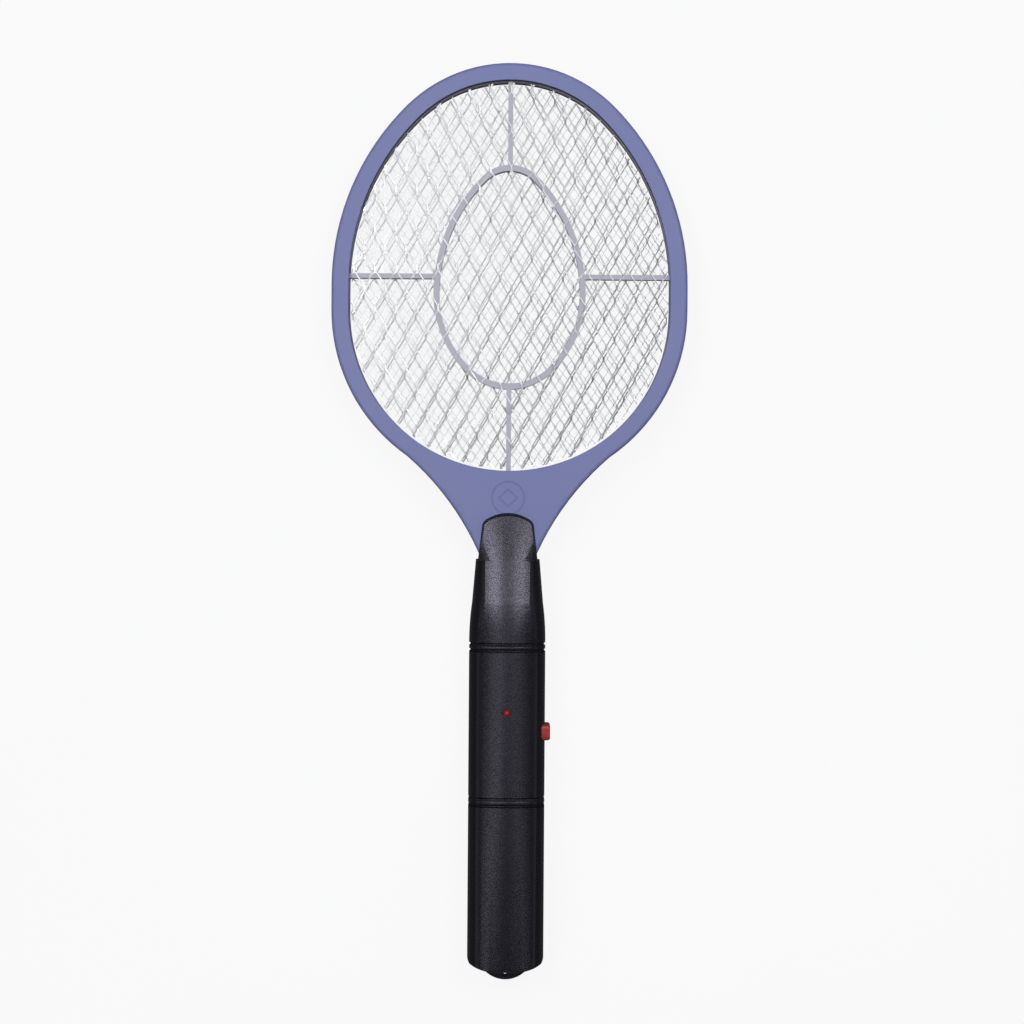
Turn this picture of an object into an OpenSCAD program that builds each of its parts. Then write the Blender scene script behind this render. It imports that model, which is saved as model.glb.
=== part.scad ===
// Electric fly swatter: an oval three-layer net head on a battery handle.
// Built lying on its back: +X right, +Y along the handle to the head, +Z out of the front.
// Inside the modules y is measured from the flat butt of the handle and z from the parting plane.

/* [Grip] */
// Width of the grip
grip_w = 38; // [37.5:0.25:39]
// Depth of the grip, front to back
grip_depth = 32; // [31.5:0.25:33]
// Radius of the crowned front of the grip
crown_r = 40; // [38:1:44]
// Corner radius of the front shell
front_corner_r = 12.5; // [12:0.25:13]
// Corner radius of the rear shell
rear_corner_r = 10.5; // [10:0.25:11]
// Wall thickness of the handle shells
wall = 1.8; // [1.6:0.1:2]
// Rounding of the butt corners
butt_r = 4; // [3:0.5:5]
// Radius of the butt's bulge in plan
butt_bulge_r = 43; // [42:1:45]
// Depth of the decorative grooves
groove_depth = 0.8; // [0.4:0.1:1]
// Width of the decorative grooves
groove_w = 1.5; // [1:0.1:1.8]

/* [Cowl] */
// Where the grip starts to narrow, from the butt
taper_y = 173; // [172:0.5:174]
// Where the first, quicker part of the taper ends
waist_y = 183; // [182:0.5:184]
// Half width of the shells at the waist
waist_half_w = 17.7; // [17.5:0.1:18]
// Front height of the shells at the waist
waist_top = 14.9; // [14.6:0.1:15.2]
// Where the full shells end
mouth_y = 204.5; // [204:0.5:205]
// Half width of the shells at the mouth
mouth_half_w = 15.9; // [15.8:0.1:16.2]
// Front height of the shells at the mouth
mouth_top = 11.2; // [11:0.1:11.6]
// Where the arched tongue over the neck ends
tongue_y = 227.5; // [226:0.5:228]
// Front height of the tongue at its tip
tongue_top = 8.6; // [8.4:0.1:8.8]

/* [Hang lug] */
// How far the lug stands out of the butt
lug_len = 5.2; // [5:0.1:6]
// Width of the lug where it meets the butt
lug_w = 22; // [21:1:24]
// Thickness of the lug
lug_t = 5.5; // [5:0.25:6]
// Radius of the cord hole
hang_hole_r = 1.4; // [1.2:0.1:1.5]

/* [Head] */
// Half width of the net opening
open_half_w = 80; // [78:1:82]
// Where the round lower end of the opening has its centre
belly_y = 328.5; // [328:0.5:329]
// Length of the straight flanks of the opening
flank = 12.5; // [12:0.5:13]
// Width of the rim around the opening
rim_w = 8.7; // [8.5:0.1:9]
// Thickness of one half of the head frame
half_t = 6.5; // [6.4:0.1:6.6]
// Wall thickness of the head frame
frame_wall = 1.8; // [1.6:0.1:2]
// Radius of the flare between neck and rim
flare_r = 138; // [130:2:144]
// Half width of the neck where it enters the handle
neck_half_w = 14.8; // [14.6:0.1:15]
// Radius of the plain round emblem on the neck
emblem_r = 8.5; // [8:0.25:8.5]

/* [Nets] */
// Pitch of the coarse nets across the head
coarse_x = 10.5; // [10:0.25:12]
// Pitch of the coarse nets along the head
coarse_y = 19.8; // [19:0.25:22]
// Width of a strand of the coarse nets
coarse_strand = 0.9; // [0.8:0.1:1.2]
// Pitch of the simplified middle net across the head
fine_x = 9; // [8:0.5:10]
// Pitch of the simplified middle net along the head
fine_y = 13; // [12:0.5:14]
// Width of a strand of the middle net
fine_strand = 0.7; // [0.6:0.1:0.9]
// Thickness of the outer nets
coarse_t = 0.6; // [0.5:0.1:0.7]
// Thickness of the middle net
fine_t = 0.4; // [0.3:0.1:0.5]
// Height of each spacer between two nets
spacer_t = 2.5; // [2.4:0.1:2.6]
// Width of the spacer spokes
bar_w = 2.4; // [2:0.1:2.6]
// Width of the spacer ring
ring_w = 2.9; // [2.6:0.1:3.2]

/* [Controls] */
// Where the push button is, from the butt
button_y = 118.7; // [118:0.1:120]
// Length of the push button along the grip
button_len = 8; // [7:0.5:9]
// Height of the push button, back to front
button_h = 15; // [14:0.5:15]
// How far the push button stands out of the side
button_out = 2.6; // [2.2:0.1:3]
// Where the indicator lamp is, from the butt
lamp_y = 128.7; // [128:0.1:129]
// Radius of the indicator lamp
lamp_r = 1.5; // [1.4:0.1:1.6]

/* [Battery bay] */
// Radius of one AA cell
cell_r = 7.25; // [7:0.05:7.25]
// Length of one AA cell with its nub
cell_len = 50.5; // [50:0.1:50.5]
// Length of the battery door
door_len = 77.5; // [77:0.25:78]
// Half width of the battery door
door_half_w = 13; // [12.5:0.25:13]

/* [Hidden] */
$fn = 64;

shell_black = [0.16, 0.16, 0.18];
frame_lilac = [0.47, 0.49, 0.66];
spacer_grey = [0.80, 0.80, 0.86];
net_silver = [0.83, 0.84, 0.85];
button_red = [0.62, 0.10, 0.12];

eps = 0.01;
front_z = grip_depth / 2;
half_w = grip_w / 2;
wide = 60;
groove_ys = [82.6, 86.1, 159.3, 162.5];
flank_y = belly_y + flank;
head_shift = [37.422, 52.9227];
crest = open_half_w - head_shift[1] + 2 * head_shift[0];
ring_half_w = 38;
head_tip = flank_y + crest + rim_w;
lug_r = (lug_w * lug_w / 4 + lug_len * lug_len) / (2 * lug_len);
hang_hole_y = -2;
butt_wall = 1.3;
end_plate_y = 4.4;

// z levels in the head: front net, spacer and middle net are stacked out from the parting plane
fine_top = fine_t / 2;
spacer_top = fine_top + spacer_t;
net_top = spacer_top + coarse_t;
edge_tuck = 4.5;

// Handle interior
cell_z = -2;
cell_x = cell_r + 0.35;
bay_y = 3.8;
contact_t = 0.4;
spring_len = 5.9;
bay_top_y = bay_y + 2 * contact_t + spring_len + cell_len;
board_t = 1.6;
board_y = [98, 170];
board_half_w = 12.5;
boss_r = 3;
screw_r = 1.3;
grip_screws = [[-11.5, 91], [11.5, 91]];
neck_screws = [[-5.6, 190], [5.6, 190]];
board_posts = [[-10, 103], [10, 165]];
tang_half_w = 9.6;
tang_y = 178;
button_z = 2;
stem_end = 12.6;
switch_x = 10.4;

// ---------- general shapes ----------

// Puts the model on its back with its origin under the middle of its box
module placed() {
  translate([0, -(head_tip - lug_len) / 2, front_z]) children();
}

// Extrudes a shape drawn in x and z from y0 to y1
module along_y(y0, y1) {
  translate([0, y1, 0]) rotate([90, 0, 0]) linear_extrude(y1 - y0) children();
}

// Extrudes a shape drawn in y and z from x0 to x1
module along_x(x0, x1) {
  translate([x0, 0, 0]) rotate([90, 0, 90]) linear_extrude(x1 - x0) children();
}

module both_sides() {
  children();
  mirror([1, 0, 0]) children();
}

module rounded_square(w, h, r) {
  square([w - 2 * r, h], center = true);
  square([w, h - 2 * r], center = true);
  for (sx = [-1, 1], sy = [-1, 1]) translate([sx * (w / 2 - r), sy * (h / 2 - r)]) circle(r);
}

function unit(v) = v / norm(v);

// A round wire along a list of points, as one closed solid; up is never along the wire
module wire(points, r, sides = 8, up = [0, 0, 1]) {
  last = len(points) - 1;
  tangents = [for (i = [0:last]) unit(points[min(i + 1, last)] - points[max(i - 1, 0)])];
  rings = [for (i = [0:last])
    let (u = unit(cross(tangents[i], up)), v = cross(tangents[i], u))
    for (k = [0:sides - 1]) points[i] + r * (u * cos(360 * k / sides) + v * sin(360 * k / sides))];
  skin = [for (i = [0:last - 1], k = [0:sides - 1])
    let (a = i * sides + k, b = i * sides + (k + 1) % sides)
    each [[a, b + sides, b], [a, a + sides, b + sides]]];
  start_cap = [for (k = [0:sides - 1]) k];
  end_cap = [for (k = [0:sides - 1]) (last + 1) * sides - 1 - k];
  polyhedron(points = rings, faces = concat([start_cap], skin, [end_cap]));
}

// Centre line of a compression spring along y
function spring_line(r0, r1, y0, y1, turns, x, z) =
  [for (i = [0:14 * turns]) let (f = i / (14 * turns), r = r0 + (r1 - r0) * f)
    [x + r * cos(360 * turns * f), y0 + (y1 - y0) * f, z + r * sin(360 * turns * f)]];

// ---------- handle sections, drawn in x and z ----------

// Front half of the grip's section: a crown that runs down into round corners, pulled in by d
module front_section(w, top, d) {
  r = min(front_corner_r, top - 1);
  corner = [w - r, top - r];
  intersection() {
    translate([0, top - crown_r]) circle(crown_r - d, $fn = 180);
    union() {
      translate([-(w - d), 0]) square([2 * (w - d), corner[1]]);
      translate([-corner[0], 0]) square([2 * corner[0], top - d]);
      intersection() {
        for (s = [-1, 1]) translate([s * corner[0], corner[1]]) circle(r - d);
        translate([-wide, 0]) square([2 * wide, wide]);
      }
    }
  }
}

// Rear half of the grip's section, flat at the back, pulled in by d
module rear_section(w, top, d) {
  flat_x = w - rear_corner_r;
  z = top - rear_corner_r;
  translate([-(w - d), -z]) square([2 * (w - d), z]);
  translate([-flat_x, -(top - d)]) square([2 * flat_x, top - d]);
  intersection() {
    for (s = [-1, 1]) translate([s * flat_x, -z]) circle(rear_corner_r - d);
    translate([-wide, -wide]) square([2 * wide, wide]);
  }
}

module half_section(front, w, top, d) {
  if (front) front_section(w, top, d);
  else rear_section(w, top, d);
}

// A thin slice of a handle half, for hulls
module slice(front, y, w, top, d) {
  along_y(y - eps, y) half_section(front, w, top, d);
}

// Flips front features to the back for the rear shell
module facing(front) {
  if (front) children();
  else mirror([0, 0, 1]) children();
}

// Rounds the butt end in plan and in profile
module butt_rounding() {
  intersection() {
    translate([0, 0, -wide / 2]) linear_extrude(wide) butt_plan();
    along_x(-wide / 2, wide / 2) rotate(-90) butt_outline(front_z);
  }
}

module butt_outline(w) {
  translate([-(w - butt_r), 0]) square([2 * (w - butt_r), wide]);
  translate([-w, butt_r]) square([2 * w, 2 * taper_y]);
  for (s = [-1, 1]) translate([s * (w - butt_r), butt_r]) circle(butt_r);
}

// Plan of the butt end: a bulge that runs into round corners
module butt_plan() {
  corner_r = 4.4;
  corner = [half_w - corner_r, 6.9];
  intersection() {
    union() {
      translate([0, butt_bulge_r]) circle(butt_bulge_r, $fn = 180);
      translate([-wide, butt_bulge_r]) square([2 * wide, 2 * taper_y]);
    }
    union() {
      translate([-corner[0], 0]) square([2 * corner[0], wide]);
      translate([-half_w, corner[1]]) square([2 * half_w, 2 * taper_y]);
      for (s = [-1, 1]) translate([s * corner[0], corner[1]]) circle(corner_r);
    }
  }
}

// Space inside the bulged wall of the butt, over the depth of the grip
module behind_bulge() {
  translate([0, 0, -wide / 2]) linear_extrude(wide) {
    translate([0, butt_bulge_r]) circle(butt_bulge_r - butt_wall, $fn = 180);
    translate([-wide, butt_bulge_r]) square([2 * wide, 2 * taper_y]);
  }
}

module groove_cutter(front) {
  for (y = groove_ys) along_y(y - groove_w / 2, y + groove_w / 2) difference() {
    square(wide, center = true);
    half_section(front, half_w, front_z, groove_depth);
    translate([-wide, front ? -wide : 0]) square([2 * wide, wide]);
  }
}

// Outline of the arched tongue over the neck, pulled in by d
module tongue_outline(d) {
  arch_r = 19.5;
  shoulder_r = 14.9;
  shoulder_y = tongue_y + 1.7 - shoulder_r;
  intersection() {
    translate([0, tongue_y - arch_r]) circle(arch_r - d);
    union() {
      translate([0, shoulder_y]) circle(shoulder_r - d);
      translate([-half_w, mouth_y - 2]) square([2 * half_w, shoulder_y - mouth_y + 2]);
    }
    polygon([[-14.9 + d, mouth_y - 1], [14.9 - d, mouth_y - 1], [14 - d, mouth_y + 6.5],
             [12.6 - d, tongue_y - 4], [12.4 - d, tongue_y], [-12.4 + d, tongue_y],
             [-12.6 + d, tongue_y - 4], [-14 + d, mouth_y + 6.5]]);
  }
}

// A thin crowned slice that shapes the front of the tongue
module crown_slice(y, top, r) {
  along_y(y - eps, y) intersection() {
    translate([0, top - r]) circle(r, $fn = 180);
    translate([-half_w, 0]) square([2 * half_w, wide]);
  }
}

// The tongue lies on the neck, crowned like the cowl and bevelled round its edge
module tongue() {
  lift = 0.4;
  bevel = 1.8;
  tip_crown_r = 120;
  slope = atan((mouth_top - tongue_top) / (tongue_y - mouth_y));
  intersection() {
    hull() {
      translate([0, 0, half_t + 0.1]) linear_extrude(eps) tongue_outline(0);
      translate([0, tongue_y, tongue_top + lift]) rotate([-slope, 0, 0]) translate([0, -tongue_y, -eps])
        linear_extrude(eps) tongue_outline(bevel);
    }
    hull() {
      crown_slice(mouth_y - 2, mouth_top + 0.2, crown_r);
      crown_slice(tongue_y + 1, tongue_top, tip_crown_r);
    }
  }
}

// Outside of one handle half
module shell_outside(front) {
  intersection() {
    along_y(0, taper_y) half_section(front, half_w, front_z, 0);
    butt_rounding();
  }
  hull() {
    slice(front, taper_y + eps, half_w, front_z, 0);
    slice(front, waist_y, waist_half_w, waist_top, 0);
  }
  hull() {
    slice(front, waist_y, waist_half_w, waist_top, 0);
    slice(front, mouth_y, mouth_half_w, mouth_top, 0);
  }
  facing(front) tongue();
}

// Hollow of one handle half
module shell_inside(front) {
  intersection() {
    along_y(wall, taper_y - 2) half_section(front, half_w, front_z, wall);
    behind_bulge();
  }
  hull() {
    slice(front, taper_y - 2 + eps, half_w, front_z, wall);
    slice(front, mouth_y - 5, mouth_half_w + 0.2, mouth_top + 0.4, wall);
  }
}

// Room for the tang and neck between the two shells, with the screw posts left standing
module neck_room() {
  translate([0, 0, -half_t - 0.1]) linear_extrude(2 * half_t + 0.2) difference() {
    neck_outline(-0.1);
    for (p = neck_screws) translate(p) circle(boss_r);
  }
}

module neck_posts() {
  for (p = neck_screws) translate([p[0], p[1], 0]) cylinder(r = boss_r, h = 12.3);
}

module button_window() {
  along_x(half_w - 6, half_w + 6) translate([button_y, button_z])
    rounded_square(button_len + 0.4, button_h + 0.4, 2.2);
}

// Solid posts of one half, kept inside the shell's skin
module posts(front, places, r) {
  intersection() {
    facing(front) for (p = places) translate([p[0], p[1], 0]) cylinder(r = r, h = front_z);
    along_y(wall, taper_y) half_section(front, half_w, front_z, wall / 2);
  }
}

// Cross rib that closes the battery bay
module bay_rib(front) {
  intersection() {
    along_y(bay_top_y, bay_top_y + 1.6) half_section(front, half_w, front_z, wall / 2);
    translate([-wide, 0, -8.6]) cube([2 * wide, 2 * taper_y, wide]);
  }
}

// ---------- head outline ----------

// An arc is [centre x, centre y, radius, start angle, sweep]. The flanks and the ends of an egg
// meet at 45 degrees; up and low give how far their centres are apart each way, and the diagonal.
function egg_arcs(a, y_up, y_low, up, low) =
  [[-up[0], y_up, a + up[0], 0, 45],
   [0, y_up + up[0], a - up[1] + up[0], 45, 90],
   [up[0], y_up, a + up[0], 135, 45],
   [low[0], y_low, a + low[0], 180, 45],
   [0, y_low - low[0], a - low[1] + low[0], 225, 90],
   [-low[0], y_low, a + low[0], 315, 45]];

head_arcs = egg_arcs(open_half_w, flank_y, belly_y, head_shift, [0, 0]);
ring_y = 337;
ring_arcs = egg_arcs(ring_half_w, ring_y, ring_y, [44.746, 63.2804], [16.632, 23.5212]);

// Points along the arcs, pushed out by d
function outline(arcs, d) =
  [for (a = arcs) let (n = ceil(a[4] * a[2] / 500)) for (i = [0:n - 1])
    [a[0] + (a[2] + d) * cos(a[3] + a[4] * i / n), a[1] + (a[2] + d) * sin(a[3] + a[4] * i / n)]];

// Sweeps a profile, drawn in outward distance and z, along the arcs
module sweep(arcs) {
  for (a = arcs) translate([a[0], a[1], 0])
    rotate_extrude(angle = a[4], start = a[3], $fn = 128) translate([a[2], 0]) children();
}

module sweep_head() {
  sweep(head_arcs) children();
  both_sides() translate([open_half_w, 0, 0]) along_y(belly_y, flank_y) children();
}

// ---------- neck ----------

// One of the two points at distance rp from p and rq from q
function circles_meet(p, rp, q, rq) =
  let (d = norm(q - p), u = (q - p) / d, a = (rp * rp - rq * rq + d * d) / (2 * d))
  p + a * u + sqrt(rp * rp - a * a) * [-u[1], u[0]];

rim_r = open_half_w + rim_w;
belly = [0, belly_y];
neck_side = [neck_half_w, 208];
// The flare bites a little into the rim, so that their edges cross
flare_bite = 0.3;
flare = circles_meet(belly, rim_r + flare_r - flare_bite, neck_side, flare_r);
neck_top = belly + (flare - belly) * (rim_r - 4) / norm(flare - belly);
neck_reach = neck_top[0] + 8;
tang_top_y = 197;

// Plan of the neck and its tang, pulled in by d
module neck_outline(d) {
  difference() {
    polygon([[-neck_top[0], neck_top[1]], [-neck_reach, tang_top_y],
             [neck_reach, tang_top_y], neck_top]);
    for (s = [-1, 1]) translate([s * flare[0], flare[1]]) circle(flare_r + d, $fn = 360);
    translate(belly) circle(open_half_w + rim_w / 2, $fn = 360);
  }
  translate([-(tang_half_w - d), tang_y + d])
    square([2 * (tang_half_w - d), tang_top_y - tang_y + 1]);
}

// Rounded-edge cutter that shapes the flared sides of the neck
module flare_cutter(edge) {
  both_sides() translate([flare[0], flare[1], 0]) rotate([0, 0, 90]) rotate_extrude(angle = 90, $fn = 360) {
    translate([flare_r - 20, 0]) square([20, half_t + 1]);
    difference() {
      translate([flare_r - eps, half_t - edge]) square([edge + eps, edge + 1]);
      translate([flare_r + edge, half_t - edge]) circle(edge);
    }
  }
}

module neck_half() {
  roof = 1.8;
  difference() {
    linear_extrude(half_t) neck_outline(0);
    flare_cutter(2);
    // The rim's channel stays free where the neck runs into the rim
    translate([belly[0], belly[1], -1])
      cylinder(r = rim_r - frame_wall + 0.4, h = half_t - frame_wall + 1.2, $fn = 360);
    translate([0, 0, -1]) linear_extrude(half_t + 1 - roof) difference() {
      neck_outline(frame_wall);
      translate(belly) circle(rim_r, $fn = 360);
    }
  }
}

// Section of one rim half: outer wall, roof and inner lip around the nets
module rim_profile() {
  edge = 2;
  inner_edge = 0.6;
  lip = 1.4;
  difference() {
    union() {
      square([rim_w, half_t - edge]);
      translate([inner_edge, 0]) square([rim_w - edge - inner_edge, half_t]);
      square([rim_w - edge, half_t - inner_edge]);
      translate([rim_w - edge, half_t - edge]) circle(edge);
      translate([inner_edge, half_t - inner_edge]) circle(inner_edge);
    }
    translate([-1, -1]) square([rim_w - frame_wall + 1, net_top + 1]);
    translate([lip, 0]) square([rim_w - frame_wall - lip, half_t - frame_wall]);
  }
}

// One half of the head frame, with its open side at z = 0
module frame_half() {
  difference() {
    union() {
      sweep_head() rim_profile();
      neck_half();
    }
    // Gate for the terminals between the rim channel and the neck
    translate([-11, belly_y - rim_r - 3, -1]) cube([22, 7, half_t - 0.8]);
    // Gate for the wires at the end of the tang
    translate([-2.6, tang_y - 1, -1]) cube([5.2, 5, 3.5]);
    for (p = neck_screws) translate([p[0], p[1], -1]) cylinder(r = boss_r + 0.15, h = wide);
  }
}

module emblem() {
  line = 0.8;
  translate([0, tongue_y + 7.3, half_t - 0.4]) {
    difference() {
      cylinder(r = emblem_r, h = 2);
      translate([0, 0, -1]) cylinder(r = emblem_r - line, h = 4);
    }
    linear_extrude(2) difference() {
      circle(5, $fn = 4);
      circle(3.8, $fn = 4);
    }
  }
}

// ---------- nets ----------

module diamond_cells(pitch_x, pitch_y, strand) {
  reach_x = (pitch_x - strand * norm([pitch_x, pitch_y]) / pitch_y) / 2;
  reach_y = (pitch_y - strand * norm([pitch_x, pitch_y]) / pitch_x) / 2;
  rows = ceil(2 * crest / pitch_y);
  columns = ceil(open_half_w / pitch_x);
  for (j = [-rows:rows], i = [-columns:columns])
    let (x = (i + (abs(j) % 2) / 2) * pitch_x, y = j * pitch_y / 2)
    if (norm([x / (open_half_w + 2), y / (crest - 1)]) < 1)
      translate([x, y]) polygon([[reach_x, 0], [0, reach_y], [-reach_x, 0], [0, -reach_y]]);
}

module net(pitch_x, pitch_y, strand, turn) {
  difference() {
    polygon(outline(head_arcs, edge_tuck));
    intersection() {
      translate([0, flank_y + 4]) rotate(turn) diamond_cells(pitch_x, pitch_y, strand);
      polygon(outline(head_arcs, edge_tuck - 2));
    }
  }
}

// Egg-shaped ring, four spokes and a hidden outer ring
module spacer() {
  spoke_y = 345.5;
  outer = 3.2;
  sweep_head() square([outer, spacer_t]);
  sweep(ring_arcs) translate([-ring_w, 0]) square([ring_w, spacer_t]);
  both_sides() translate([ring_half_w - 1, spoke_y - bar_w / 2, 0])
    cube([open_half_w - ring_half_w + 2, bar_w, spacer_t]);
  for (span = [[belly_y - open_half_w - 1, 290.5], [400, head_tip - rim_w + 1]])
    translate([-bar_w / 2, span[0], 0]) cube([bar_w, span[1] - span[0], spacer_t]);
}

// ---------- sub-parts ----------

module handle_front_shell() {
  lug_centre = lug_r - lug_len;
  color(shell_black) placed() {
    difference() {
      union() {
        difference() {
          shell_outside(true);
          shell_inside(true);
          groove_cutter(true);
        }
        posts(true, grip_screws, boss_r);
        posts(true, board_posts, 2.4);
        bay_rib(true);
        neck_posts();
      }
      neck_room();
      button_window();
      translate([0, lamp_y, 0]) cylinder(r = lamp_r + 0.05, h = wide);
      translate([0, lamp_y, front_z - 0.6]) cylinder(r = lamp_r + 1, h = 2);
      for (p = concat(grip_screws, neck_screws)) translate([p[0], p[1], -1]) cylinder(r = screw_r, h = 9);
      for (p = board_posts) translate([p[0], p[1], -1]) cylinder(r = 0.9, h = 6.2);
      for (s = [-1, 1]) translate([s * cell_x - 1.7, bay_top_y - 1, 3]) cube([3.4, 4, 1.4]);
    }
    difference() {
      translate([0, 0, -lug_t / 2]) linear_extrude(lug_t) intersection() {
        translate([0, lug_centre]) circle(lug_r);
        translate([-wide, -wide]) square([2 * wide, wide + 1.6]);
      }
      translate([0, hang_hole_y, -lug_t]) cylinder(r = hang_hole_r, h = 2 * lug_t);
      translate([0, butt_bulge_r, -wide]) cylinder(r = butt_bulge_r + 0.05, h = wide, $fn = 180);
    }
  }
}

module handle_rear_shell() {
  color(shell_black) placed() difference() {
    union() {
      difference() {
        shell_outside(false);
        shell_inside(false);
        groove_cutter(false);
      }
      posts(false, grip_screws, boss_r);
      bay_rib(false);
      facing(false) neck_posts();
    }
    neck_room();
    button_window();
    for (p = concat(grip_screws, neck_screws)) {
      translate([p[0], p[1], -wide]) cylinder(r = screw_r + 0.2, h = 2 * wide);
      translate([p[0], p[1], -wide]) cylinder(r = 2.7, h = wide - 10);
    }
    door_window(0.25);
  }
}

// Space that the battery door and its rails pass through
module door_window(gap) {
  translate([-door_half_w - gap, -1, -wide]) cube([2 * (door_half_w + gap), door_len + 1 + gap, wide - 9]);
  translate([-15.6 - gap, -1, -wide]) cube([2 * (15.6 + gap), 1 + end_plate_y + gap, wide - 8.7]);
}

module battery_door() {
  rail_x = 15.4;
  rail_y = 3.6;
  rail_z = [-10.3, -9.1];
  web_t = 1.4;
  color(shell_black) placed() {
    intersection() {
      union() {
        difference() {
          along_y(0, door_len) rear_section(half_w, front_z, 0);
          along_y(-1, door_len + 1) rear_section(half_w, front_z, wall);
          both_sides() translate([door_half_w, -1, -wide]) cube([wide, door_len + 2, wide]);
        }
        difference() {
          along_y(0, end_plate_y) intersection() {
            rear_section(half_w, front_z, 0);
            translate([-15.6, -wide]) square([31.2, wide - 9]);
          }
          behind_bulge();
        }
      }
      butt_rounding();
    }
    both_sides() {
      translate([door_half_w - web_t, rail_y, -14.4]) cube([web_t, door_len - rail_y, 14.4 + rail_z[1]]);
      translate([door_half_w - web_t, rail_y, rail_z[0]])
        cube([rail_x - door_half_w + web_t, door_len - rail_y, rail_z[1] - rail_z[0]]);
      translate([cell_x - 0.8, 8, -14.4]) cube([1.6, 60, 14.4 - 9.7]);
    }
  }
}

module head_frame_front() {
  color(frame_lilac) placed() difference() {
    frame_half();
    emblem();
  }
}

module head_frame_rear() {
  color(frame_lilac) placed() mirror([0, 0, 1]) frame_half();
}

module grid_front() {
  color(net_silver) placed() translate([0, 0, spacer_top])
    linear_extrude(coarse_t) net(coarse_x, coarse_y, coarse_strand, 0);
}

module grid_middle() {
  color(net_silver) placed() translate([0, 0, -fine_top])
    linear_extrude(fine_t) net(fine_x, fine_y, fine_strand, 2.5);
}

module grid_rear() {
  color(net_silver) placed() translate([0, 0, -net_top])
    linear_extrude(coarse_t) net(coarse_x, coarse_y, coarse_strand, 0);
}

module spacer_front() {
  color(spacer_grey) placed() translate([0, 0, fine_top]) spacer();
}

module spacer_rear() {
  color(spacer_grey) placed() translate([0, 0, -spacer_top]) spacer();
}

module push_button() {
  face_x = half_w + button_out;
  flange = [1.3, button_len + 3, 9];
  flange_x = half_w - wall - 0.2 - flange[0];
  color(button_red) placed() {
    intersection() {
      along_x(flange_x, face_x) translate([button_y, button_z]) rounded_square(button_len, button_h, 2);
      translate([0, button_y, -wide / 2]) linear_extrude(wide) rotate(-90) translate([0, face_x / 2])
        rounded_square(button_len, face_x, 1.2);
    }
    translate([flange_x, button_y - flange[1] / 2, -4.5]) cube(flange);
    translate([stem_end, button_y, button_z]) rotate([0, 90, 0]) cylinder(r = 1.9, h = 4);
  }
}

module button_spring() {
  line = spring_line(2.9, 2.9, 0, 4.3, 3, 0, 0);
  color("silver") placed() translate([switch_x + 0.75, button_y, button_z]) rotate([0, 0, -90])
    wire(line, 0.25, 6, [0, 1, 0]);
}

module switch_body() {
  bore_r = 1.65;
  color([0.1, 0.1, 0.11]) placed() difference() {
    union() {
      translate([switch_x - 7.4, button_y - 3.6, 0]) cube([7.4, 7.2, 5]);
      translate([switch_x, button_y, button_z]) rotate([0, 90, 0]) cylinder(r = 2.4, h = 0.5);
    }
    translate([switch_x - 3, button_y, button_z]) rotate([0, 90, 0]) cylinder(r = bore_r, h = 5);
  }
}

module switch_plunger() {
  color("whitesmoke") placed() translate([switch_x - 1.5, button_y, button_z])
    rotate([0, 90, 0]) cylinder(r = 1.6, h = stem_end - 0.05 - switch_x + 1.5);
}

module lamp_lens() {
  dome_z = front_z - 0.7;
  color([0.75, 0.06, 0.06]) placed() translate([0, lamp_y, 0]) {
    translate([0, 0, 10]) cylinder(r = lamp_r, h = dome_z - 10);
    translate([0, 0, dome_z]) sphere(lamp_r);
    translate([0, 0, 10]) cylinder(r = lamp_r + 0.4, h = 1);
  }
}

module lamp_leads() {
  color("silver") placed() for (s = [-1, 1]) translate([s * 0.9, lamp_y, -board_t - 0.8])
    cylinder(r = 0.25, h = 10 + board_t + 0.8);
}

module circuit_board() {
  notch = 8;
  color([0.12, 0.38, 0.2]) placed() difference() {
    translate([-board_half_w, board_y[0], -board_t])
      cube([2 * board_half_w, board_y[1] - board_y[0], board_t]);
    translate([switch_x - 0.2, button_y - notch / 2, -board_t - 1]) cube([wide, notch, 4]);
    for (p = board_posts) translate([p[0], p[1], -board_t - 1]) cylinder(r = 1.2, h = 4);
    for (s = [-1, 1]) translate([s * 0.9, lamp_y, -board_t - 1]) cylinder(r = 0.3, h = 4);
  }
}

transformer = [0, 150, 5.8];
leg_w = 4;
core_t = 5;

module transformer_core() {
  color([0.25, 0.23, 0.22]) placed() translate(transformer) difference() {
    cube([17, 14, core_t], center = true);
    for (s = [-1, 1]) translate([s * (leg_w + 3.8) / 2, 0, 0])
      cube([3.8, 8, core_t + 2], center = true);
  }
}

module transformer_winding() {
  color([0.72, 0.56, 0.12]) placed() translate(transformer) difference() {
    translate([0, 3.8, 0]) rotate([90, 0, 0]) linear_extrude(7.6)
      rounded_square(leg_w + 7, core_t + 6.2, 1.5);
    cube([leg_w, 20, core_t], center = true);
  }
}

module high_voltage_capacitor() {
  color([0.55, 0.16, 0.1]) placed() translate([2.5, 107, 0.2])
    linear_extrude(11) rounded_square(15, 6.4, 1.5);
}

// An axial part lying across the board on its two bent legs
module axial_part(x, y, r, body_len, span) {
  lift = 0.3 + r;
  translate([x - body_len / 2, y, lift]) rotate([0, 90, 0]) cylinder(r = r, h = body_len);
  translate([x - span / 2, y, lift]) rotate([0, 90, 0]) cylinder(r = 0.3, h = span);
  for (s = [-1, 1]) translate([x + s * (span / 2 - 0.3), y, 0]) cylinder(r = 0.3, h = lift);
}

module rectifier_diodes() {
  color([0.1, 0.1, 0.1]) placed() for (i = [0:3]) axial_part(-7, 113 + 4.5 * i, 1.3, 5, 9);
}

module resistors() {
  color([0.8, 0.68, 0.5]) placed() for (i = [0:2]) axial_part(6.5, 127.5 + 4.5 * i, 1.1, 6, 10);
}

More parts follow.
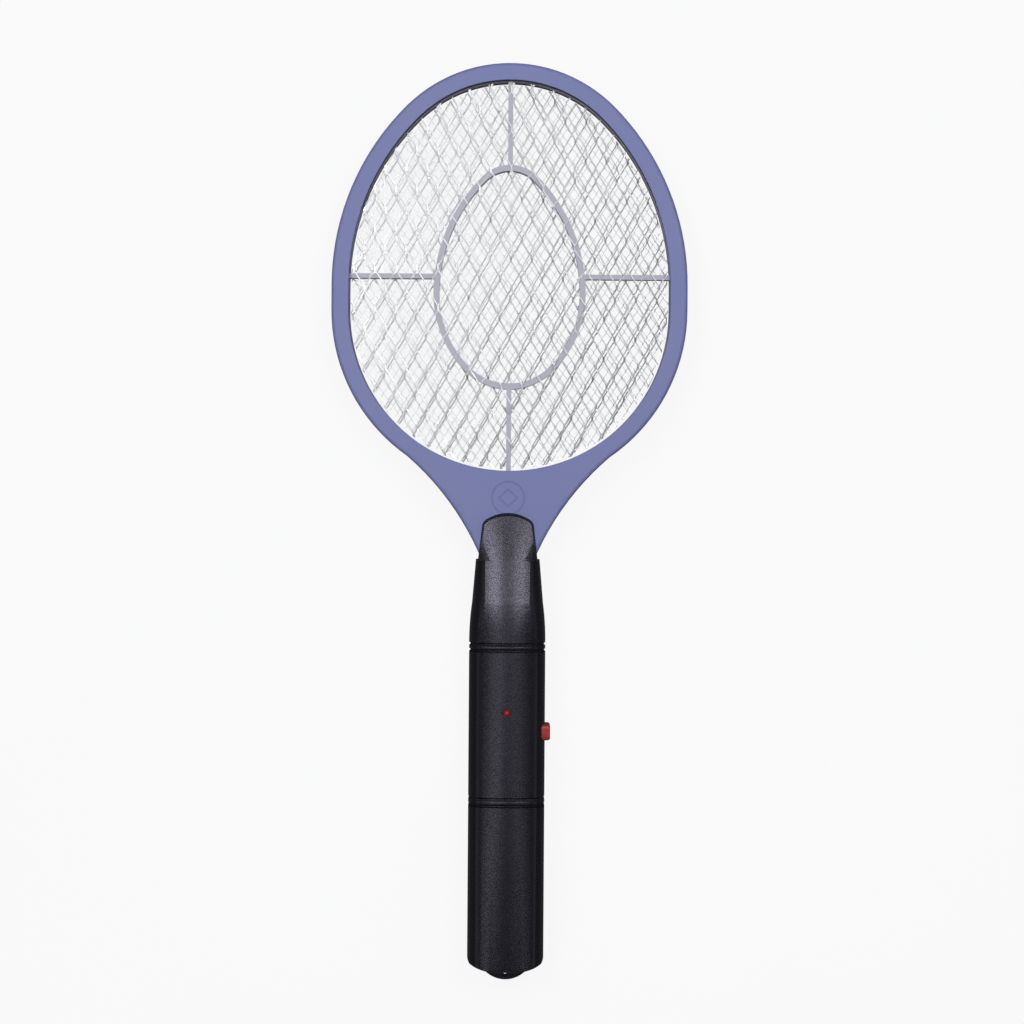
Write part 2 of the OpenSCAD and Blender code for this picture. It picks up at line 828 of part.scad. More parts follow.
module transistor() {
  color([0.1, 0.1, 0.1]) placed() translate([-6, 136, 0]) {
    translate([0, 0, 2]) linear_extrude(4.6) intersection() {
      circle(2.4);
      translate([-3, -1.4]) square([6, 6]);
    }
    for (i = [-1:1]) translate([i * 1.27, 0, 0]) cylinder(r = 0.25, h = 2.5);
  }
}

// An AA cell with its nub pointing to y + or y -
module cell(x, y, up) {
  nub = 1;
  translate([x, y + (up ? 0 : cell_len), cell_z]) rotate([up ? -90 : 90, 0, 0]) {
    cylinder(r = cell_r, h = cell_len - nub);
    cylinder(r = 2.75, h = cell_len);
  }
}

module battery_left() {
  color([0.2, 0.35, 0.6]) placed() cell(-cell_x, bay_y + contact_t + spring_len, true);
}

module battery_right() {
  color([0.2, 0.35, 0.6]) placed() cell(cell_x, bay_y + contact_t, false);
}

module contact_spring(x, y0, y1) {
  wire(spring_line(4.2, 2.4, y0, y1, 3, x, cell_z), 0.35, 6, [0, 1, 0]);
}

// A contact plate on the bay wall, with a solder tag that reaches through the rib
module contact_plate(x) {
  translate([x - 5, bay_top_y - contact_t, cell_z - 5]) cube([10, contact_t, 10]);
  translate([x - 1.5, bay_top_y - contact_t, 3]) cube([3, 4, contact_t]);
}

module bridge_contact() {
  color("silver") placed() {
    translate([-cell_x - 5, bay_y, cell_z - 5]) cube([2 * (cell_x + 5), contact_t, 10]);
    contact_spring(-cell_x, bay_y + contact_t / 2, bay_y + contact_t + spring_len - 0.35);
  }
}

module positive_contact() {
  color("silver") placed() contact_plate(-cell_x);
}

module negative_contact() {
  color("silver") placed() {
    contact_plate(cell_x);
    contact_spring(cell_x, bay_top_y - contact_t / 2, bay_top_y - contact_t - spring_len + 0.35);
  }
}

terminal_y = [belly_y - open_half_w - 9.5, belly_y - open_half_w - 3.4];

module grid_terminal_middle() {
  color("gold") placed() translate([-8, terminal_y[0], fine_top])
    cube([3.5, terminal_y[1] - terminal_y[0], contact_t]);
}

module grid_terminal_outer() {
  depth = terminal_y[1] - terminal_y[0];
  color("gold") placed() translate([4.5, terminal_y[0], 0]) {
    for (s = [-1, 1]) translate([0, 0, s * (spacer_top - contact_t / 2) - contact_t / 2])
      cube([3.5, depth, contact_t]);
    translate([0, 0, -spacer_top]) cube([3.5, contact_t, 2 * spacer_top]);
  }
}

wire_r = 0.55;
high_voltage_route = [[-6.3, 241.5, 1.2], [-6, 237, 1.3], [-3, 226, 1.1], [-1.3, 212, 0.8], [-1.3, 182, 0.7],
                      [-1.6, 175, 0.6], [-3, 170, 0.6], [-3.2, 165, 0.6]];
ground_route = [[6.3, 238.9, -0.6], [5.8, 234, -0.4], [3, 226, 0.4], [1.3, 212, 0.8], [1.3, 182, 0.7],
                [1.6, 175, 0.6], [3, 170, 0.6], [3.2, 165, 0.6]];
battery_route = [[7.6, 62.5, 3.9], [7.5, 67, 3.9], [7.2, 73, 3.4], [6.4, 81, 2.2], [5, 90, 1.2],
                 [4.6, 96, 0.7], [4.6, 100, 0.6]];

module high_voltage_wire() {
  color("firebrick") placed() wire(high_voltage_route, wire_r);
}

module ground_wire() {
  color("dimgray") placed() wire(ground_route, wire_r);
}

module battery_wires() {
  color("firebrick") placed() {
    wire(battery_route, wire_r);
    mirror([1, 0, 0]) wire(battery_route, wire_r);
  }
}

// A pan-head screw that points to +z from its seat
module screw(r, len, head_r, head_h) {
  translate([0, 0, -head_h]) difference() {
    cylinder(r = head_r, h = head_h);
    for (turn = [0, 90]) rotate([0, 0, turn]) translate([-head_r * 0.6, -0.25, -1])
      cube([head_r * 1.2, 0.5, 1.6]);
  }
  cylinder(r = r, h = len);
}

module handle_screws() {
  color("silver") placed() for (p = concat(grip_screws, neck_screws))
    translate([p[0], p[1], -10]) screw(screw_r, 17, 2.4, 1.8);
}

module board_screws() {
  color("silver") placed() for (p = board_posts) translate([p[0], p[1], -board_t]) screw(0.9, 6.6, 1.8, 1.1);
}

handle_front_shell();
handle_rear_shell();
battery_door();
head_frame_front();
head_frame_rear();
grid_front();
grid_middle();
grid_rear();
spacer_front();
spacer_rear();
push_button();
button_spring();
switch_body();
switch_plunger();
lamp_lens();
lamp_leads();
circuit_board();
transformer_core();
transformer_winding();
high_voltage_capacitor();
rectifier_diodes();
resistors();
transistor();
battery_left();
battery_right();
bridge_contact();
positive_contact();
negative_contact();
grid_terminal_middle();
grid_terminal_outer();
high_voltage_wire();
ground_wire();
battery_wires();
handle_screws();
board_screws();
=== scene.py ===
"""Electric fly swatter: the finished pieces, their materials and the stage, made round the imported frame."""

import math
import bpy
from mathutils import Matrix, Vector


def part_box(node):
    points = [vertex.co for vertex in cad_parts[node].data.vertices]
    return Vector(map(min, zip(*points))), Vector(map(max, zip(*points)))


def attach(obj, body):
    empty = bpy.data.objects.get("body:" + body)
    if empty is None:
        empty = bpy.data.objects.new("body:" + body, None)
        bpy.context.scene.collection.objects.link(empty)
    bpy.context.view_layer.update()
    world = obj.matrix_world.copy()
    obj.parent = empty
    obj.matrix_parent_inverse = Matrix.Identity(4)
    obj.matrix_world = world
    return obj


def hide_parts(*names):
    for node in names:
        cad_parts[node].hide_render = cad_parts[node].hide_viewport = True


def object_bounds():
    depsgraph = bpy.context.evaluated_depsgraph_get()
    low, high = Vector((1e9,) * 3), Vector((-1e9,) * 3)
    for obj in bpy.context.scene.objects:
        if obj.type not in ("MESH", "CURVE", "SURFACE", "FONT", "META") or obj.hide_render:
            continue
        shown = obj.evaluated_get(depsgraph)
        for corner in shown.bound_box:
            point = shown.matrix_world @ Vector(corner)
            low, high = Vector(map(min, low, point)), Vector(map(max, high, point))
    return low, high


bl_info = {
    "name": "Electric Fly Swatter",
    "version": (1, 0, 0),
    "blender": (4, 5, 0),
    "location": "3D View > Sidebar > Swatter",
    "description": "Builds the nets, shells and controls of an electric fly swatter",
    "category": "Object",
}

import bmesh
import bpy
from bpy.props import FloatProperty, FloatVectorProperty, IntProperty, PointerProperty
from bpy.types import Operator, Panel, PropertyGroup
from mathutils import Matrix, Vector, noise

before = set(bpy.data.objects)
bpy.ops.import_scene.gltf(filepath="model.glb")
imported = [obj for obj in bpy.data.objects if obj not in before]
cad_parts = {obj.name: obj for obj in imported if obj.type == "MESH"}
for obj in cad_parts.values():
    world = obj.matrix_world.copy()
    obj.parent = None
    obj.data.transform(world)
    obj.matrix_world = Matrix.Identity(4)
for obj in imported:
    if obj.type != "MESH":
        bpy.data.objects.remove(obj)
cad_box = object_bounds()
slots = {name: node.data.materials[0].name for name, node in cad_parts.items()}
finishes = {}

MM = 0.001

# Where the rear shell ends at the butt, and where it meets the front shell
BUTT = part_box("handle_rear_shell")[0].y
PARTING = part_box("handle_rear_shell")[1].z
# Distances of the grooves from the butt in mm, in pairs
GROOVES = ((82.6, 86.1), (159.3, 162.5))
# A face across the middle of a groove is its floor if its normal leans less than this along the grip
FLOOR_LEAN = 0.2
# Cuts across the shells at which the shoulder bends
SHOULDER_STEPS = 9
# How fast the cowl loses width and depth, as a share of its half size for each metre
COWL_SLOPE = 6.9
# The outer part of the push button, whose edges are rounded where they are sharper than the angle
BUTTON_CAP = 1.2 * MM
BUTTON_EDGE = math.radians(25)
# Faces that meet at more than this angle keep a sharp edge between them
CREASE = math.radians(32)

# The painted shade on the lip covers the wall this close round the opening, where its normal has less than
# these parts in Z and Y
LIP_REACH = 0.45 * MM
LIP_STEPS = 72
LIP_Z = 0.6
LIP_Y = -0.3

# How much each side of a bond between openings is widened, as a share of a strand
BOND_WIDENING = 0.35
# How much further the middle net ends inside the opening than the outer nets
MIDDLE_NET_STEP = 1 * MM
# Unevenness of the nets: its size, the two scales of its noise, the finer one's share and the share along Z
COARSE_WOBBLE = 0.12 * MM
FINE_WOBBLE = 0.05 * MM
SLOW_DRIFT = 90
QUICK_DRIFT = 400
QUICK_SHARE = 0.6
RISE_SHARE = 0.6

# Range of a noise that becomes a mask from 0 to 1
MASK = (0.35, 0.65)

# Tones of the studio: its dark parts, its bright band and what the camera sees of it
STUDIO_DIM = (0.10, 0.105, 0.11)
STUDIO_BAND = (0.50, 0.51, 0.53)
STUDIO_SEEN = (0.93, 0.93, 0.935)
# Tones of the floor: the two that it drifts between, and what the swatter's gloss sees of it
FLOOR_TONES = ((0.95, 0.95, 0.955), (0.97, 0.97, 0.97))
FLOOR_DIM = (0.12, 0.12, 0.125, 1)
# Share of the floor's look that doesn't depend on the lights
FLOOR_GLOW = 0.93

# Name, place, size and power of each soft box
LIGHTS = (
    ("box_left_high", (-0.46, 0.34, 1.2), (0.26, 0.50), 5.2),
    ("box_left_low", (-0.40, -0.30, 1.2), (0.11, 0.75), 1.1),
    ("box_right_high", (0.42, 0.34, 1.2), (0.24, 0.50), 4.2),
    ("box_right_low", (0.33, -0.30, 1.2), (0.08, 0.75), 0.6),
    ("box_crown", (0, 0.42, 1.25), (0.40, 0.25), 0.8),
    ("box_fill", (0, 0.95, 1.0), (1.4, 0.4), 1.8),
)


# ---------- sizes and colours ----------


def length(name, text, default):
    """A length in metres, given in millimetres."""
    return FloatProperty(name=name, description=text, default=default * MM, min=0, unit="LENGTH", precision=5)


def colour(name, text, default):
    """A linear colour."""
    return FloatVectorProperty(
        name=name, description=text, default=default, size=3, min=0, max=1, subtype="COLOR"
    )


class SwatterNetSizes(PropertyGroup):
    """Sizes of the nets and of the opening that they fill"""

    coarse_x: length("Coarse pitch across", "Width of one opening of the outer nets", 10.5)
    coarse_y: length("Coarse pitch along", "Length of one opening of the outer nets", 19.8)
    coarse_strand: length("Coarse strand", "Width of a strand of the outer nets", 0.62)
    coarse_bond: length("Coarse bond", "Length of the bonds between openings of the outer nets", 2.2)
    coarse_sheet: length("Coarse sheet", "Thickness of the metal of the outer nets", 0.3)
    fine_x: length("Fine pitch across", "Width of one opening of the middle net", 4.5)
    fine_y: length("Fine pitch along", "Length of one opening of the middle net", 6.6)
    fine_strand: length("Fine strand", "Width of a strand of the middle net", 0.26)
    fine_bond: length("Fine bond", "Length of the bonds between openings of the middle net", 0.8)
    fine_sheet: length("Fine sheet", "Thickness of the metal of the middle net", 0.2)
    tilt: FloatProperty(
        name="Strand tilt", description="How far the strands of the nets lean to one side",
        default=math.radians(30), min=0, max=math.radians(45), subtype="ANGLE",
    )
    edge_gap: length("Edge gap", "Gap between the outer nets and the edge of the opening", 0.9)
    crown_shift: length("Crown shift", "How far the centres of the upper flanks lie past the axis", 37.422)
    tuck: length("Tuck", "How far the plain nets of the frame reach under the rim", 4.5)
    outline_steps: IntProperty(
        name="Outline steps", description="Straight cuts that trim each net", default=96, min=24, max=180
    )


class SwatterHandleSizes(PropertyGroup):
    """Sizes of the soft shapes of the handle and the push button"""

    groove_width: length("Groove width", "Width of each groove round the grip", 1.5)
    groove_floor: length("Groove floor", "Width left at the bottom of each groove", 0.3)
    ridge_round: length("Ridge rounding", "Rounding of the ridge between two grooves", 0.55)
    cowl_start: length("Cowl start", "Distance from the butt to where the grip starts to narrow", 173)
    shoulder: length("Shoulder", "Length over which the grip bends softly into the cowl", 18)
    button_round: length("Button rounding", "Rounding of the edges of the push button", 0.7)


class SwatterColours(PropertyGroup):
    """Colours of the parts that show"""

    shell_black: colour("Shell black", "Handle shells and battery door", (0.0035, 0.0034, 0.0045))
    frame_lilac: colour("Frame lilac", "Head frame", (0.156, 0.178, 0.378))
    spacer_grey: colour("Spacer grey", "Spacers between the nets", (0.40, 0.39, 0.46))
    net_light: colour("Net", "Metal of the nets", (0.74, 0.75, 0.77))
    button_red: colour("Button red", "Push button", (0.27, 0.016, 0.018))
    lamp_red: colour("Lamp red", "Indicator lamp", (0.42, 0.006, 0.012))


class SwatterStageSizes(PropertyGroup):
    """Sizes of the floor and the place of the camera"""

    camera_height: length("Camera height", "Distance of the camera above the middle of the object", 1100)
    camera_across: length("Camera across", "How far the camera stands to the right of the middle", 1.95)
    camera_along: length("Camera along", "How far the camera stands from the middle towards the head", 4.8)
    camera_roll: FloatProperty(
        name="Camera roll", description="How far the camera is turned about its line of sight",
        default=math.radians(0.38), min=0, max=math.radians(5), subtype="ANGLE",
    )
    view_width: length("View width", "Width of the view at the middle of the object", 512)
    floor_size: length("Floor size", "Length of the floor's sides", 9000)


# ---------- shader node groups ----------


def link_in(tree, source, target):
    """Links an output socket to an input socket."""
    tree.links.new(source, target)


def group_tree(name, inputs, outputs):
    """A shader node group with its sockets; returns the tree and its two end nodes."""
    tree = bpy.data.node_groups.new(name, "ShaderNodeTree")
    for label, value in inputs.items():
        kind = "NodeSocketFloat" if isinstance(value, (int, float)) else "NodeSocketColor"
        socket = tree.interface.new_socket(name=label, in_out="INPUT", socket_type=kind)
        socket.default_value = value if kind == "NodeSocketFloat" else (*value, 1)
    for label, kind in outputs.items():
        tree.interface.new_socket(name=label, in_out="OUTPUT", socket_type=kind)
    return tree, tree.nodes.new("NodeGroupInput"), tree.nodes.new("NodeGroupOutput")


def add_noise(tree, scale, detail=4, vector=None):
    """A noise texture on Object coordinates; scale is a number or a socket."""
    node = tree.nodes.new("ShaderNodeTexNoise")
    node.inputs["Detail"].default_value = detail
    if isinstance(scale, (int, float)):
        node.inputs["Scale"].default_value = scale
    else:
        link_in(tree, scale, node.inputs["Scale"])
    if vector is None:
        vector = tree.nodes.new("ShaderNodeTexCoord").outputs["Object"]
    link_in(tree, vector, node.inputs["Vector"])
    return node


def add_range(tree, value, low, high, to_low=0.0, to_high=1.0, smooth=True):
    """Maps a value from one range to another."""
    node = tree.nodes.new("ShaderNodeMapRange")
    if smooth:
        node.interpolation_type = "SMOOTHSTEP"
    link_in(tree, value, node.inputs["Value"])
    for label, number in (("From Min", low), ("From Max", high), ("To Min", to_low), ("To Max", to_high)):
        if isinstance(number, (int, float)):
            node.inputs[label].default_value = number
        else:
            link_in(tree, number, node.inputs[label])
    return node.outputs["Result"]


def add_mix(tree, factor, first, second):
    """A colour mix; first and second are colours or sockets."""
    node = tree.nodes.new("ShaderNodeMix")
    node.data_type = "RGBA"
    link_in(tree, factor, node.inputs["Factor"])
    for socket, value in ((node.inputs[6], first), (node.inputs[7], second)):
        if isinstance(value, bpy.types.NodeSocket):
            link_in(tree, value, socket)
        else:
            socket.default_value = (*value[:3], 1)
    return node.outputs[2]


def moulded_grain():
    """Fine grain of spark-eroded plastic, with masks for its slow blotches and for its specks."""
    tree, start, end = group_tree(
        "moulded_grain",
        {"Grain scale": 1500.0, "Depth": 0.2, "Blotch scale": 40.0},
        {"Normal": "NodeSocketVector", "Blotch": "NodeSocketFloat", "Speck": "NodeSocketFloat"},
    )
    fine = add_noise(tree, start.outputs["Grain scale"], 3)
    fine.inputs["Roughness"].default_value = 0.75
    bump = tree.nodes.new("ShaderNodeBump")
    bump.inputs["Distance"].default_value = 0.1 * MM
    link_in(tree, start.outputs["Depth"], bump.inputs["Strength"])
    link_in(tree, fine.outputs["Fac"], bump.inputs["Height"])
    slow = add_noise(tree, start.outputs["Blotch scale"], 5)
    link_in(tree, bump.outputs["Normal"], end.inputs["Normal"])
    link_in(tree, add_range(tree, slow.outputs["Fac"], *MASK), end.inputs["Blotch"])
    link_in(tree, add_range(tree, fine.outputs["Fac"], *MASK), end.inputs["Speck"])
    return tree


def drawn_metal():
    """Fine streaks along the length of the object, with soft tarnish."""
    tree, start, end = group_tree(
        "drawn_metal",
        {"Streak scale": 900.0, "Depth": 0.15},
        {"Normal": "NodeSocketVector", "Tarnish": "NodeSocketFloat"},
    )
    stretch = tree.nodes.new("ShaderNodeMapping")
    stretch.inputs["Scale"].default_value = (1, 0.12, 1)
    link_in(tree, tree.nodes.new("ShaderNodeTexCoord").outputs["Object"], stretch.inputs["Vector"])
    streak = add_noise(tree, start.outputs["Streak scale"], 3, stretch.outputs["Vector"])
    bump = tree.nodes.new("ShaderNodeBump")
    bump.inputs["Distance"].default_value = 0.05 * MM
    link_in(tree, start.outputs["Depth"], bump.inputs["Strength"])
    link_in(tree, streak.outputs["Fac"], bump.inputs["Height"])
    slow = add_noise(tree, 260, 4)
    link_in(tree, bump.outputs["Normal"], end.inputs["Normal"])
    link_in(tree, add_range(tree, slow.outputs["Fac"], 0.3, 0.7), end.inputs["Tarnish"])
    return tree


GROUPS = {"moulded_grain": moulded_grain, "drawn_metal": drawn_metal}


def place_group(material, name, **values):
    """Places a shared node group in a material with its own values."""
    tree = bpy.data.node_groups.get(name) or GROUPS[name]()
    node = material.node_tree.nodes.new("ShaderNodeGroup")
    node.node_tree = tree
    for label, value in values.items():
        node.inputs[label.replace("_", " ")].default_value = value
    return node


# ---------- materials ----------


def new_material(name, **sockets):
    """A material with one Principled BSDF whose sockets are set by name."""
    material = bpy.data.materials.new(name)
    material.use_nodes = True
    shader = material.node_tree.nodes["Principled BSDF"]
    for label, value in sockets.items():
        shader.inputs[label.replace("_", " ")].default_value = value
    return material, shader


def shade(value, factor):
    """A colour made lighter or darker."""
    return tuple(min(channel * factor, 1) for channel in value)


def plastic(name, base, roughness, spread, grain, depth, blotch, light, gloss="Blotch", **sockets):
    """Moulded plastic with grain, a little colour drift and a roughness that follows one of the masks."""
    material, shader = new_material(name, **sockets)
    tree = material.node_tree
    grained = place_group(material, "moulded_grain", Grain_scale=grain, Depth=depth, Blotch_scale=blotch)
    drift = add_mix(tree, grained.outputs["Blotch"], base, shade(base, light))
    link_in(tree, drift, shader.inputs["Base Color"])
    rough = add_range(tree, grained.outputs[gloss], 0, 1, roughness, roughness + spread, smooth=False)
    link_in(tree, rough, shader.inputs["Roughness"])
    link_in(tree, grained.outputs["Normal"], shader.inputs["Normal"])
    return material


def metal(name, base, roughness, spread, streak, depth, dark):
    """Drawn or pressed metal with streaks and soft tarnish."""
    material, shader = new_material(name, Metallic=1.0)
    tree = material.node_tree
    drawn = place_group(material, "drawn_metal", Streak_scale=streak, Depth=depth)
    tarnished = add_mix(tree, drawn.outputs["Tarnish"], base, shade(base, dark))
    link_in(tree, tarnished, shader.inputs["Base Color"])
    rough = add_range(tree, drawn.outputs["Tarnish"], 0, 1, roughness, roughness + spread, smooth=False)
    link_in(tree, rough, shader.inputs["Roughness"])
    link_in(tree, drawn.outputs["Normal"], shader.inputs["Normal"])
    return material


def object_axis(tree, axis):
    """One axis of the Object coordinates."""
    split = tree.nodes.new("ShaderNodeSeparateXYZ")
    link_in(tree, tree.nodes.new("ShaderNodeTexCoord").outputs["Object"], split.inputs["Vector"])
    return split.outputs[axis]


def cell_jacket():
    """Shrink jacket of the cells: dark, and copper-coloured towards the butt."""
    material, shader = new_material("cell_jacket")
    tree = material.node_tree
    grained = place_group(material, "moulded_grain", Grain_scale=900.0, Depth=0.05, Blotch_scale=60.0)
    middle = (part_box("battery_left")[0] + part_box("battery_right")[1]) / 2
    band = add_range(tree, object_axis(tree, "Y"), middle.y - 9 * MM, middle.y - 8.6 * MM)
    jacket = add_mix(tree, band, (0.55, 0.24, 0.07), (0.025, 0.026, 0.03))
    link_in(tree, jacket, shader.inputs["Base Color"])
    rough = add_range(tree, grained.outputs["Blotch"], 0, 1, 0.25, 0.38, smooth=False)
    link_in(tree, rough, shader.inputs["Roughness"])
    link_in(tree, grained.outputs["Normal"], shader.inputs["Normal"])
    return material


def build_materials():
    """All finishes, by the name of the record's material slot."""
    tint = bpy.context.scene.swatter_colours
    steel = (0.62, 0.62, 0.61)
    # Base colour, roughness and its spread, grain scale and depth, blotch scale and lightness
    plastics = {
        "frame_lilac": (tint.frame_lilac, 0.5, 0.1, 1600.0, 0.3, 25.0, 1.04),
        # painted shade: a near-black lilac for the recess of the lip's inner wall, not a colour of the
        # plastic
        "lip_painted_shade": ((0.012, 0.012, 0.018), 0.6, 0.1, 1600.0, 0.3, 25.0, 1.2),
        "spacer_grey": (tint.spacer_grey, 0.45, 0.1, 1200.0, 0.15, 60.0, 1.08),
        "switch_black": ((0.015, 0.015, 0.016), 0.4, 0.1, 1200.0, 0.15, 90.0, 1.2),
        "plunger_white": ((0.72, 0.71, 0.66), 0.4, 0.1, 1200.0, 0.1, 120.0, 1.05),
        "board_green": ((0.012, 0.10, 0.035), 0.3, 0.12, 500.0, 0.12, 180.0, 1.5),
        "core_ferrite": ((0.045, 0.042, 0.04), 0.65, 0.1, 1800.0, 0.4, 150.0, 1.3),
        "winding_tape": ((0.62, 0.42, 0.04), 0.35, 0.1, 700.0, 0.1, 140.0, 1.15),
        "capacitor_red": ((0.38, 0.045, 0.02), 0.3, 0.1, 700.0, 0.12, 120.0, 1.2),
        "component_black": ((0.018, 0.018, 0.019), 0.45, 0.1, 1500.0, 0.25, 120.0, 1.2),
        "resistor_beige": ((0.58, 0.44, 0.26), 0.45, 0.1, 900.0, 0.1, 150.0, 1.1),
        "wire_red": ((0.45, 0.02, 0.015), 0.38, 0.1, 900.0, 0.1, 90.0, 1.15),
        "wire_grey": ((0.10, 0.10, 0.105), 0.4, 0.1, 900.0, 0.1, 90.0, 1.2),
    }
    # Base colour, roughness and its spread, streak scale and depth, and how dark the tarnish is
    metals = {
        "net_aluminium": (tint.net_light, 0.28, 0.14, 700.0, 0.2, 0.85),
        "contact_steel": (steel, 0.25, 0.15, 900.0, 0.15, 0.75),
        "terminal_brass": ((0.72, 0.50, 0.20), 0.28, 0.15, 900.0, 0.15, 0.75),
        "screw_steel": (shade(steel, 0.8), 0.3, 0.15, 900.0, 0.15, 0.75),
    }
    return {
        **{name: plastic(name, *values) for name, values in plastics.items()},
        **{name: metal(name, *values) for name, values in metals.items()},
        "shell_black": plastic(
            "shell_black", tint.shell_black, 0.18, 0.14, 1500.0, 0.6, 30.0, 1.3, gloss="Speck",
            Specular_Tint=(0.84, 0.80, 1.0, 1),
        ),
        "button_red": plastic(
            "button_red", tint.button_red, 0.22, 0.08, 900.0, 0.05, 80.0, 1.25, Coat_Weight=0.3
        ),
        "lamp_red": plastic(
            "lamp_red", tint.lamp_red, 0.08, 0.04, 600.0, 0.02, 400.0, 1.3, Transmission_Weight=0.25
        ),
        "cell_jacket": cell_jacket(),
    }


def finish_for(slot):
    """The material of a slot; all of them are made the first time that one is asked for."""
    if not finishes:
        finishes.update(build_materials())
    return finishes[slot]


# ---------- shared modelling ----------


def add_piece(name, bm, slot, body, *nodes):
    """Turns a bmesh into a piece in place of some CAD nodes."""
    mesh = bpy.data.meshes.new(name)
    bm.to_mesh(mesh)
    bm.free()
    piece = bpy.data.objects.new(name, mesh)
    bpy.context.scene.collection.objects.link(piece)
    mesh.materials.append(finish_for(slot))
    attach(piece, body)
    if nodes:
        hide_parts(*nodes)
    return piece


def merged_copy(node_name):
    """A bmesh of a CAD node with its loose triangles joined and its flat faces made whole."""
    bm = bmesh.new()
    bm.from_mesh(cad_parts[node_name].data)
    bmesh.ops.remove_doubles(bm, verts=bm.verts, dist=0.002 * MM)
    bmesh.ops.dissolve_limit(bm, angle_limit=math.radians(0.3), verts=bm.verts, edges=bm.edges)
    return bm


def cut(bm, point, normal, clear_outer=False):
    """Cuts everything in a bmesh with a plane, and may drop what lies outside it."""
    bmesh.ops.bisect_plane(
        bm, geom=bm.verts[:] + bm.edges[:] + bm.faces[:], dist=0.001 * MM,
        plane_co=point, plane_no=normal, clear_outer=clear_outer,
    )


def round_edges(bm, edges, radius):
    """Rounds some edges of a bmesh."""
    bmesh.ops.bevel(
        bm, geom=edges, offset=radius, segments=4, profile=0.5, affect="EDGES", material=-1,
        clamp_overlap=True,
    )


def shade_smooth(bm):
    """Shades a bmesh smooth between its sharp edges."""
    for face in bm.faces:
        face.smooth = True
    for edge in bm.edges:
        edge.smooth = edge.calc_face_angle(0) < CREASE


def opening_planes(node_name, inset, steps):
    """Points and outward normals of straight cuts round the egg-shaped opening."""
    sizes = bpy.context.scene.swatter_net
    low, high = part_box(node_name)
    outer = high.x
    shift = sizes.crown_shift
    belly_y = low.y + outer
    flank_y = high.y - outer - (2 - math.sqrt(2)) * shift
    reach = outer - sizes.tuck - inset
    for step in range(steps):
        angle = 2 * math.pi * (step + 0.5) / steps
        normal = Vector((math.cos(angle), math.sin(angle), 0))
        if normal.y < 0:
            centre, radius = Vector((0, belly_y, 0)), reach
        elif normal.y < abs(normal.x):
            centre, radius = Vector((-math.copysign(shift, normal.x), flank_y, 0)), reach + shift
        else:
            centre, radius = Vector((0, flank_y + shift, 0)), reach - (math.sqrt(2) - 1) * shift
        yield centre + radius * normal, normal


def paint_lip_shade(piece):
    """Paints shade on the upper, downward-facing part of the opening's inner wall, the recess where shade
    falls, by giving those faces a near-black second material.
    """
    piece.data.materials.append(finish_for("lip_painted_shade"))
    planes = list(opening_planes("grid_front", -LIP_REACH, LIP_STEPS))
    for face in piece.data.polygons:
        flat = Vector((face.center.x, face.center.y, 0))
        inside = all((flat - point).dot(normal) < 0 for point, normal in planes)
        # painted shade: downward-facing faces of the upper inner wall take the dark material
        if inside and abs(face.normal.z) < LIP_Z and face.normal.y < LIP_Y:
            face.material_index = 1


def moulded_piece(name, node_name, body, shaping=None):
    """A smooth-shaded moulding that stands for a CAD node, shaped further by a function."""
    bm = merged_copy(node_name)
    if shaping:
        shaping(bm)
    shade_smooth(bm)
    piece = add_piece(name, bm, slots[node_name], body, node_name)
    even = piece.modifiers.new("even_shading", "WEIGHTED_NORMAL")
    even.keep_sharp = True
    even.weight = 80
    return piece


def slope_grooves(bm):
    """Gives the square grooves sloping sides and rounds the ridge between each pair."""
    sizes = bpy.context.scene.swatter_handle
    half = sizes.groove_width / 2
    near = 0.05 * MM
    for pair in GROOVES:
        centres = [BUTT + distance * MM for distance in pair]
        for centre in centres:
            floors = [
                face for face in bm.faces
                if abs(face.calc_center_median().y - centre) < 2 * near and abs(face.normal.y) < FLOOR_LEAN
            ]
            for vert in {vert for face in floors for vert in face.verts}:
                if abs(abs(vert.co.y - centre) - half) < near:
                    vert.co.y = centre + (vert.co.y - centre) * sizes.groove_floor / sizes.groove_width
        lips = (centres[0] + half, centres[1] - half)
        ridge = [
            edge for edge in bm.edges
            if any(all(abs(vert.co.y - lip) < near for vert in edge.verts) for lip in lips)
        ]
        round_edges(bm, ridge, sizes.ridge_round)


def soften_shoulder(bm):
    """Bends the straight break between the grip and the cowl into a soft shoulder."""
    sizes = bpy.context.scene.swatter_handle
    middle = BUTT + sizes.cowl_start
    start, end = middle - sizes.shoulder / 2, middle + sizes.shoulder / 2
    for step in range(SHOULDER_STEPS + 1):
        cut(bm, (0, start + sizes.shoulder * step / SHOULDER_STEPS, 0), (0, 1, 0))
    for vert in bm.verts:
        if start < vert.co.y < end:
            curve = (vert.co.y - start) ** 2 / (2 * sizes.shoulder)
            shrink = curve - max(0, vert.co.y - middle)
            vert.co.x *= 1 - shrink * COWL_SLOPE
            vert.co.z -= (vert.co.z - PARTING) * shrink * COWL_SLOPE


def shape_shell(bm):
    """Gives a handle shell its soft grooves and shoulder."""
    slope_grooves(bm)
    soften_shoulder(bm)


def round_button(bm):
    """Rounds the edges of the push button that a thumb feels."""
    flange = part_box("push_button")[1].x - BUTTON_CAP
    edges = [
        edge for edge in bm.edges
        if edge.calc_face_angle(0) > BUTTON_EDGE and all(vert.co.x > flange for vert in edge.verts)
    ]
    round_edges(bm, edges, bpy.context.scene.swatter_handle.button_round)


# ---------- nets ----------


